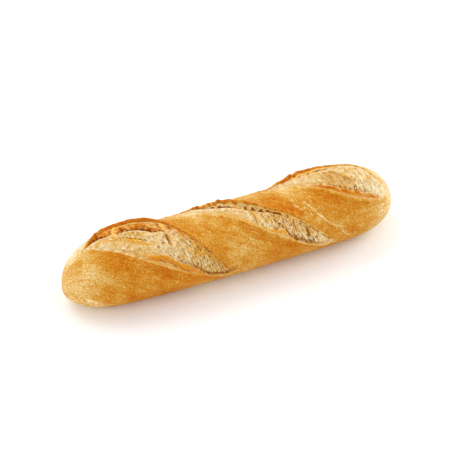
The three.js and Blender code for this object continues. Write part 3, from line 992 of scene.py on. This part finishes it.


# The knobbly torn face under the ear and the bowl below it, with a ragged crevice darkened by painted shade.
def addCrevice(tear):
    score, k, x, s, t = tear.score, tear.k, tear.x, tear.s, tear.t
    upright = s + tear.h  # distance down the face and along the bowl
    offFace = 1 - tear.onFace
    breaks = 1 + score["broken"] * cloud([x + 0.4 * tear.warp, s], (2.3, 6), 46 + k)
    breaks += 0.4 * cloud([x, s], 0.9, 53 + k)
    reach = follow(score["crevice"], t) * np.maximum(breaks, 0)
    # painted shade: behind the crest the crevice is sunk and darkened
    crevice = ease(0.5 + (reach - tear.behindCrest) / 1.4) * rise(tear.behindCrest, -0.3, 0.3)
    crevice = crevice * clamp(reach / 0.8) * offFace
    knobbly = clouds([x, upright], crumb["knobbly"], k)
    knobbly += 0.3 * ridges(cloud([x + 0.5 * tear.warp, upright], (0.9, 2.4), 48 + k))
    tear.relief = mix(tear.relief, knobbly, tear.bowl * offFace) - 0.5 * crevice
    strand = 0
    if score["strand"]:
        strand = bell(fromLine(x + 0.3 * tear.ragged, s, score["strand"]), 0, 1.4)
        tear.relief += 0.9 * strand
        strand = np.maximum(strand, tear.bowl * tear.foldLine)
    clump = cloud([x + 0.3 * s, upright], (2.6, 1.6), 55 + k)
    flake = rise(clump, 0.02, 0.27) * tear.bowl * score["clumps"]
    knobbly += 0.6 * clump * score["clumps"]
    # painted shade at the foot of the torn face, broken up by the clumps; it also pushes the face back
    undercut = follow(score["undercut"], t) * rise(tear.fromRim, 0.33, 0.4) * tear.bowl
    undercut = undercut * clamp(0.75 - score["gapContrast"] * clump)
    gaps = crevice * (1 - strand) * (1 - 0.8 * flake) * patchy(0.8, 0.6, [x, upright], (1.7, 1.3), 57)
    darkness = 1
    if score["crumbled"]:
        bridges = rise(t, 0.46, 0.51) * patchy(0.5, 2.5, [x], 1.9, 64)
        crumbled = clamp(0.75 + clouds([x, upright], crumb["crumbled"]))
        darkness = score["crumbled"] * crumbled * (1 - 0.85 * bridges)
    tear.gaps = clamp(np.maximum(gaps, darkness * undercut))
    # painted shade on the torn face: lighter on its knobs, darker near the crevice, a little lighter towards
    # the right end
    shadeNearCrevice = score["faceShadeNearCrevice"] * ease(1.2 - tear.behindCrest / (2 * reach + 1)) * (1 - tear.rimLine)
    clearing = 0.06 * rise(t, *crumb["rightPart"])
    tear.faceShade = clamp(0.5 + (0.4 + 0.3 * score["knobs"]) * knobbly - shadeNearCrevice + clearing)
    # the bright line under the rim: partly the cut edge's golden colour, partly a painted highlight where the
    # rim shades it; strands and flakes are golden crumb
    bright = tear.rimLine * (0.95 + 0.8 * cloud([x], 2.3, 51 + k))
    tear.brightLine = clamp(bright + 0.9 * strand + 0.8 * tear.lipLine + 0.7 * flake)
    tear.relief = tear.relief * offFace * tear.shown * tear.opened
    stands = score["knobs"] * knobbly * tear.shown * (1 - tear.rimLine) - 0.5 * undercut
    tear.s = s + stands * tear.onFace * tear.small
    spots = score["paleSpots"] * cloud([x, tear.s + tear.h], (3, 1.5), 50 + k)
    tear.facePale = clamp(follow(score["facePale"], t) + spots)


# Places of the torn surface, and of the hidden lines that close it underneath.
def tearPoints(tear):
    front = frontAngle(tear.score, tear.x)
    lifted = tear.h + tear.relief
    depth = 1.4 * (1 - tear.opened)  # its tips are drawn in under the crust
    upper = loafPoint(tear.x, front - toDegrees(tear.width - tear.s), (lifted - depth) * tear.opened)
    back = np.linspace(0, 1, crumb["underLines"] + 2)[None, 1:-1]
    belly = np.sin(math.pi * back)
    underS = mix(tear.s[:, -1:], tear.s[:, :1], back)
    underH = mix(lifted[:, -1:], lifted[:, :1], back) * (1 - belly) - belly * crumb["under"]
    underAngle = front[:, :1] - toDegrees(tear.width - underS)
    lower = loafPoint(tear.x[:, :1] + 0 * underS, underAngle, (underH - depth) * tear.opened)
    return np.concatenate([np.stack(upper, axis=-1), np.stack(lower, axis=-1)], axis=1)


# Everything that the crumb's material reads, from 0 to 1.
def tearFields(tear):
    score, t, bowl = tear.score, tear.t, tear.bowl
    # painted light and shade: the crumb is lighter on the bumps and swells of its relief and on the crest's
    # edge, and darker in its dips
    bumps = (tear.relief - blur(tear.relief, 4)) * (1 - tear.onFace)
    swells = (tear.relief - blur(tear.relief, 12)) * (1 - tear.onFace)
    crest = bell(tear.behindCrest, -0.9, 0.9) * clamp(follow(score["dip"], t) / 2)
    shade = clamp(0.5 + follow(score["light"], t) + 1.1 * bumps + 0.5 * swells + 0.25 * crest)
    stripSpots = patchy(0.8, 0.5, [tear.x, tear.f], (3, 0.9), 37)
    gloom = clamp(follow(score["gloom"], t) + 0.25 * cloud(tear.bare, 7, 49) + tear.behindRidge)
    overCrown = {
        "toast": clamp(tear.toast),
        "hollow": clamp(tear.hollow),
        "skin": tear.skin,
        "tan": tear.tan,
        "flour": tear.flour,
        "gold": tear.gold * (1 - tear.skin) * (1 - tear.strip),
        "strip": score["stripTan"] * tear.strip * stripSpots,
    }
    fields = {name: field * (1 - bowl) for name, field in overCrown.items()}
    fields.update(shade=mix(shade, tear.faceShade, bowl), bowl=bowl, facePale=tear.facePale, gloom=gloom)
    fields.update(crevice=tear.gaps, rimLine=tear.brightLine, ember=tear.ember)
    return fields


def buildCrumb(k, material):
    tear = layTear(k)
    for step in (addGrain, addSkin, addTornLip, addMarks, addCrevice):
        step(tear)
    lines = tear.s.shape[1] + crumb["underLines"]
    mesh, ring, line = newSpindle("crumb_" + tear.score["name"], crumb["rings"], lines)
    hidden = np.zeros((crumb["rings"] + 1, crumb["underLines"]))
    for name, field in tearFields(tear).items():
        writeAttribute(mesh, name, np.concatenate([field, hidden], axis=1)[ring, line])
    return addPiece(mesh, tearPoints(tear)[ring, line], material)


# A colour in linear light, from its red, green and blue of 0 to 255.
def srgb(*channels):
    shares = [channel / 255 for channel in channels]
    return (*[c / 12.92 if c < 0.04045 else ((c + 0.055) / 1.055) ** 2.4 for c in shares], 1)


# Adds shader nodes to a tree and links them. A value can be a number, a colour or another node's output.
class Nodes:
    def __init__(self, tree):
        self.tree = tree

    def add(self, kind, **settings):
        node = self.tree.nodes.new("ShaderNode" + kind)
        for name, value in settings.items():
            setattr(node, name, value)
        return node

    def feed(self, node, values):
        for name, value in values.items():
            if isinstance(value, bpy.types.NodeSocket):
                self.tree.links.new(value, node.inputs[name])
            else:
                node.inputs[name].default_value = value

    # Adds a node, feeds it and gives one of its outputs.
    def make(self, kind, values, output=0, **settings):
        node = self.add(kind, **settings)
        self.feed(node, values)
        return node.outputs[output]

    def math(self, operation, a, b):
        return self.make("Math", {0: a, 1: b}, operation=operation)

    def scaled(self, value, factor, offset=0.0, limit=False):
        return self.make("Math", {0: value, 1: factor, 2: offset}, operation="MULTIPLY_ADD", use_clamp=limit)

    def blend(self, share, a, b, kind="MIX"):
        return self.make("Mix", {0: share, 6: a, 7: b}, 2, data_type="RGBA", blend_type=kind)

    def attribute(self, name, output="Fac"):
        return self.make("Attribute", {}, output, attribute_name=name)

    def noise(self, vector, scale, detail, roughness=0.55):
        values = {"Vector": vector, "Scale": scale, "Detail": detail, "Roughness": roughness}
        return self.make("TexNoise", values, "Fac")

    def ramp(self, value, stops):
        node = self.add("ValToRGB")
        self.feed(node, {0: value})
        elements = node.color_ramp.elements
        while len(elements) < len(stops):
            elements.new(0.5)
        for element, (place, colour) in zip(elements, stops):
            element.position = place
            element.color = colour
        return node.outputs[0]


# Grain of baked flour, shared by both materials: a mottle around 0, and a height for a bump.
def makeGrainGroup():
    group = bpy.data.node_groups.new("bakedGrain", "ShaderNodeTree")
    for name, kind in (("Vector", "NodeSocketVector"), ("Size", "NodeSocketFloat")):
        group.interface.new_socket(name, in_out="INPUT", socket_type=kind)
    for name in ("Mottle", "Height"):
        group.interface.new_socket(name, in_out="OUTPUT", socket_type="NodeSocketFloat")
    nodes = Nodes(group)
    start = group.nodes.new("NodeGroupInput")
    end = group.nodes.new("NodeGroupOutput")
    vector, size = start.outputs["Vector"], start.outputs["Size"]
    detail, roughness, finer = 2.0, 0.6, 2.3
    coarse = nodes.noise(vector, size, detail, roughness)
    fine = nodes.noise(vector, nodes.math("MULTIPLY", size, finer), detail, roughness)
    both = nodes.math("ADD", coarse, fine)
    nodes.feed(end, {"Mottle": nodes.math("SUBTRACT", both, 1.0)})
    nodes.feed(end, {"Height": nodes.math("MULTIPLY", both, 0.5)})
    return group


grainGroup = makeGrainGroup()


def useGrain(nodes, vector, size):
    node = nodes.tree.nodes.new("ShaderNodeGroup")
    node.node_tree = grainGroup
    nodes.feed(node, {"Vector": vector, "Size": size})
    return node.outputs["Mottle"], node.outputs["Height"]


def newMaterial(name):
    material = bpy.data.materials.new(name)
    material.use_nodes = True
    material.node_tree.nodes.clear()
    nodes = Nodes(material.node_tree)
    shader = nodes.add("BsdfPrincipled")
    nodes.feed(nodes.add("OutputMaterial"), {"Surface": shader.outputs["BSDF"]})
    return material, nodes, shader


# Feeds the shader a colour, and a roughness and a bump that follow the grain.
def coat(nodes, shader, colour, mottle, height, finish):
    bump = {"Strength": finish["bumpStrength"], "Distance": finish["bumpDepth"], "Height": height}
    roughness = nodes.scaled(mottle, *finish["roughness"])
    normal = nodes.make("Bump", bump, "Normal")
    nodes.feed(shader, {"Base Color": colour, "Roughness": roughness, "Normal": normal})
    nodes.feed(shader, {"Specular IOR Level": finish["specular"]})


crustFinish = {
    # by how far the crust is baked
    "colours": [(0.0, srgb(248, 234, 200)), (0.18, srgb(235, 200, 138)), (0.36, srgb(219, 173, 87)),
                (0.52, srgb(207, 147, 49)), (0.68, srgb(199, 124, 22)), (0.84, srgb(194, 102, 7)),
                (1.0, srgb(178, 78, 2))],
    "innerColour": srgb(196, 120, 40),
    "grainSize": 950.0,  # of the noise, and larger is finer
    "grain": 1.05,
    # noises added to the bake: what each one follows, its size, detail, strength and offset
    "noises": [
        ("place", 70.0, 3.0, 0.43, -0.215),
        ("place", 170.0, 3.0, 0.21, -0.1),
        ("flow", 0.9, 3.0, 0.42, -0.21),
        ("flow", 0.3, 2.0, 0.26, -0.13),
    ],
    "speckSize": 900.0,
    "speckPeaks": (6.0, -3.9),  # factor and offset that leave the noise's peaks
    "specks": 0.36,
    "roughness": (0.15, 0.6),  # how much it varies with the grain, and around what
    "bumpStrength": 0.35,
    "bumpDepth": 0.0004,  # in metres
    "specular": 0.05,
}


def makeCrustMaterial():
    material, nodes, shader = newMaterial("bakedCrust")
    vectors = {
        "place": nodes.add("TexCoord").outputs["Object"],
        "flow": nodes.attribute("flow", "Vector"),
    }
    mottle, height = useGrain(nodes, vectors["place"], crustFinish["grainSize"])
    bake = nodes.math("ADD", nodes.attribute("bake"), nodes.scaled(mottle, crustFinish["grain"]))
    for follows, size, detail, strength, offset in crustFinish["noises"]:
        noise = nodes.noise(vectors[follows], size, detail)
        bake = nodes.math("ADD", bake, nodes.scaled(noise, strength, offset))
    specks = nodes.noise(vectors["place"], crustFinish["speckSize"], 1.0)
    specks = nodes.scaled(specks, *crustFinish["speckPeaks"], limit=True)
    bake = nodes.math("SUBTRACT", bake, nodes.scaled(specks, crustFinish["specks"]))
    colour = nodes.ramp(bake, crustFinish["colours"])
    colour = nodes.blend(nodes.attribute("inner"), colour, crustFinish["innerColour"])
    coat(nodes, shader, colour, mottle, height, crustFinish)
    return material


crumbFinish = {
    # by how light the crumb's shade is
    "torn": [(0.0, srgb(152, 88, 18)), (0.22, srgb(192, 138, 56)), (0.44, srgb(209, 170, 92)),
             (0.62, srgb(222, 195, 130)), (0.85, srgb(240, 226, 190))],
    "skin": [(0.18, srgb(190, 126, 30)), (0.5, srgb(205, 164, 90)), (0.84, srgb(244, 229, 194))],
    "tan": [(0.2, srgb(168, 110, 40)), (0.5, srgb(192, 142, 66)), (0.8, srgb(224, 186, 118))],
    "brownFace": [(0.1, srgb(130, 58, 4)), (0.45, srgb(196, 112, 18)), (0.85, srgb(226, 152, 50))],
    "paleFace": [(0.08, srgb(166, 94, 20)), (0.34, srgb(243, 196, 92)), (0.62, srgb(253, 238, 178))],
    "toast": srgb(230, 164, 30),
    # painted shade in pits, slits, the hollows beside folds and behind the torn lip
    "hollow": srgb(150, 88, 20),
    # painted shade in the crevice and at the foot of the torn face, dark and paler
    "crevice": srgb(120, 54, 6),
    "paleCreviceShade": srgb(176, 98, 18),
    "gold": srgb(236, 204, 142),
    "strip": srgb(212, 138, 48),
    # scorched dark orange, also used as painted shade under the torn edge
    "ember": srgb(200, 104, 10),
    # partly golden cut edge, partly painted highlight
    "rimLine": srgb(248, 200, 104),
    "gloom": srgb(206, 172, 120),
    "flour": srgb(254, 240, 204),
    # the tints that multiply the colour, and the ones laid over it, with their strengths
    "tints": [("gloom", 0.5), ("gold", 1.0)],
    "layers": [("strip", 0.85), ("toast", 0.95), ("ember", 1.0), ("hollow", 1.0)],
    "grainSize": 900.0,
    "grain": 0.75,
    "skinNoise": (260.0, 0.8, -0.4),  # size, strength and offset
    "flourGrain": (1.5, 0.6),  # how much the flour varies with the grain, and around what
    "roughness": (0.1, 0.8),
    "bumpStrength": 0.5,
    "bumpDepth": 0.0005,
    "specular": 0.05,
}


def makeCrumbMaterial():
    material, nodes, shader = newMaterial("tornCrumb")
    place = nodes.add("TexCoord").outputs["Object"]
    mottle, height = useGrain(nodes, place, crumbFinish["grainSize"])
    grainy = nodes.math("ADD", nodes.attribute("shade"), nodes.scaled(mottle, crumbFinish["grain"]))
    colour = nodes.ramp(grainy, crumbFinish["torn"])
    for name, strength in crumbFinish["tints"]:
        share = nodes.scaled(nodes.attribute(name), strength)
        colour = nodes.blend(share, colour, crumbFinish[name], "MULTIPLY")
    size, strength, offset = crumbFinish["skinNoise"]
    skinShade = nodes.math("ADD", grainy, nodes.scaled(nodes.noise(place, size, 2.0), strength, offset))
    colour = nodes.blend(nodes.attribute("skin"), colour, nodes.ramp(skinShade, crumbFinish["skin"]))
    colour = nodes.blend(nodes.attribute("tan"), colour, nodes.ramp(grainy, crumbFinish["tan"]))
    patches = nodes.scaled(mottle, *crumbFinish["flourGrain"], limit=True)
    floured = nodes.math("MULTIPLY", nodes.attribute("flour"), patches)
    colour = nodes.blend(floured, colour, crumbFinish["flour"])
    for name, strength in crumbFinish["layers"]:
        colour = nodes.blend(nodes.scaled(nodes.attribute(name), strength), colour, crumbFinish[name])
    brownFace = nodes.ramp(grainy, crumbFinish["brownFace"])
    face = nodes.blend(nodes.attribute("facePale"), brownFace, nodes.ramp(grainy, crumbFinish["paleFace"]))
    colour = nodes.blend(nodes.attribute("bowl"), colour, face)
    # painted shade in the crevice, paler where the face is pale
    deep = nodes.blend(nodes.attribute("facePale"), crumbFinish["crevice"], crumbFinish["paleCreviceShade"])
    colour = nodes.blend(nodes.attribute("crevice"), colour, deep)
    colour = nodes.blend(nodes.attribute("rimLine"), colour, crumbFinish["rimLine"])
    coat(nodes, shader, colour, mottle, height, crumbFinish)
    return material


view = {
    "elevation": 43,  # degrees over the table
    "turn": 22.68,  # degrees to the left of straight in front
    "distance": 1500,
    "frameWidth": 345.5,  # mm of the loaf's middle that the picture is wide
    "aim": (-4.1, 8.0),  # the picture's middle, to the right of and above the loaf's middle, in mm
    "height": 25,  # of the loaf's middle over the table, in mm
    "sensor": 36,  # the camera's width of picture, in mm
}


def addCamera():
    elevation = math.radians(view["elevation"])
    turn = math.radians(view["turn"])
    toCamera = Vector(
        (-math.sin(turn) * math.cos(elevation), -math.cos(turn) * math.cos(elevation), math.sin(elevation))
    )
    right = Vector((math.cos(turn), -math.sin(turn), 0))
    up = toCamera.cross(right)
    middle = Vector((0, loaf["shift"], view["height"])) + right * view["aim"][0] + up * view["aim"][1]
    data = bpy.data.cameras.new("camera")
    data.sensor_width = view["sensor"]
    data.lens = view["sensor"] * view["distance"] / view["frameWidth"]
    data.clip_start = 0.05
    camera = newObject("camera", data)
    turned = Matrix((right, up, toCamera)).transposed().to_4x4()
    camera.matrix_world = Matrix.Translation((middle + toCamera * view["distance"]) * mm) @ turned
    bpy.context.scene.camera = camera


studio = {
    "floor": {"Base Color": srgb(253, 253, 253), "Roughness": 0.9, "Specular IOR Level": 0.1},
    "floorReach": 4,  # metres each way
    "skyStrength": 0.85,
    "lamps": [
        # place in metres, width, power in watts
        ((-0.5, 0.9, 1.3), 1.2, 7.4),
        ((-1.2, -0.5, 0.9), 0.9, 3.2),
        ((1.3, 0.1, 0.7), 0.9, 6.8),
    ],
}


def addStudio():
    bm = bmesh.new()
    bmesh.ops.create_grid(bm, x_segments=1, y_segments=1, size=studio["floorReach"])
    mesh = bpy.data.meshes.new("floor")
    bm.to_mesh(mesh)
    bm.free()
    floor = newObject("floor", mesh)
    material, nodes, shader = newMaterial("paleFloor")
    nodes.feed(shader, studio["floor"])
    mesh.materials.append(material)
    world = bpy.data.worlds.new("studio")
    world.use_nodes = True
    background = world.node_tree.nodes["Background"]
    background.inputs["Color"].default_value = (1, 1, 1, 1)
    background.inputs["Strength"].default_value = studio["skyStrength"]
    bpy.context.scene.world = world
    for place, width, power in studio["lamps"]:
        data = bpy.data.lights.new("softbox", "AREA")
        data.shape = "DISK"
        data.size = width
        data.energy = power
        lamp = newObject("softbox", data)
        lamp.location = place
        lamp.rotation_euler = (-Vector(place)).to_track_quat("-Z", "Y").to_euler()  # faces the loaf


print("building the crust")
buildCrust(makeCrustMaterial())
print("tearing the crumb")
crumbMaterial = makeCrumbMaterial()
for k in range(3):
    buildCrumb(k, crumbMaterial)
print("setting the camera and the lights")
addCamera()
addStudio()
bpy.context.scene.view_settings.view_transform = "Standard"
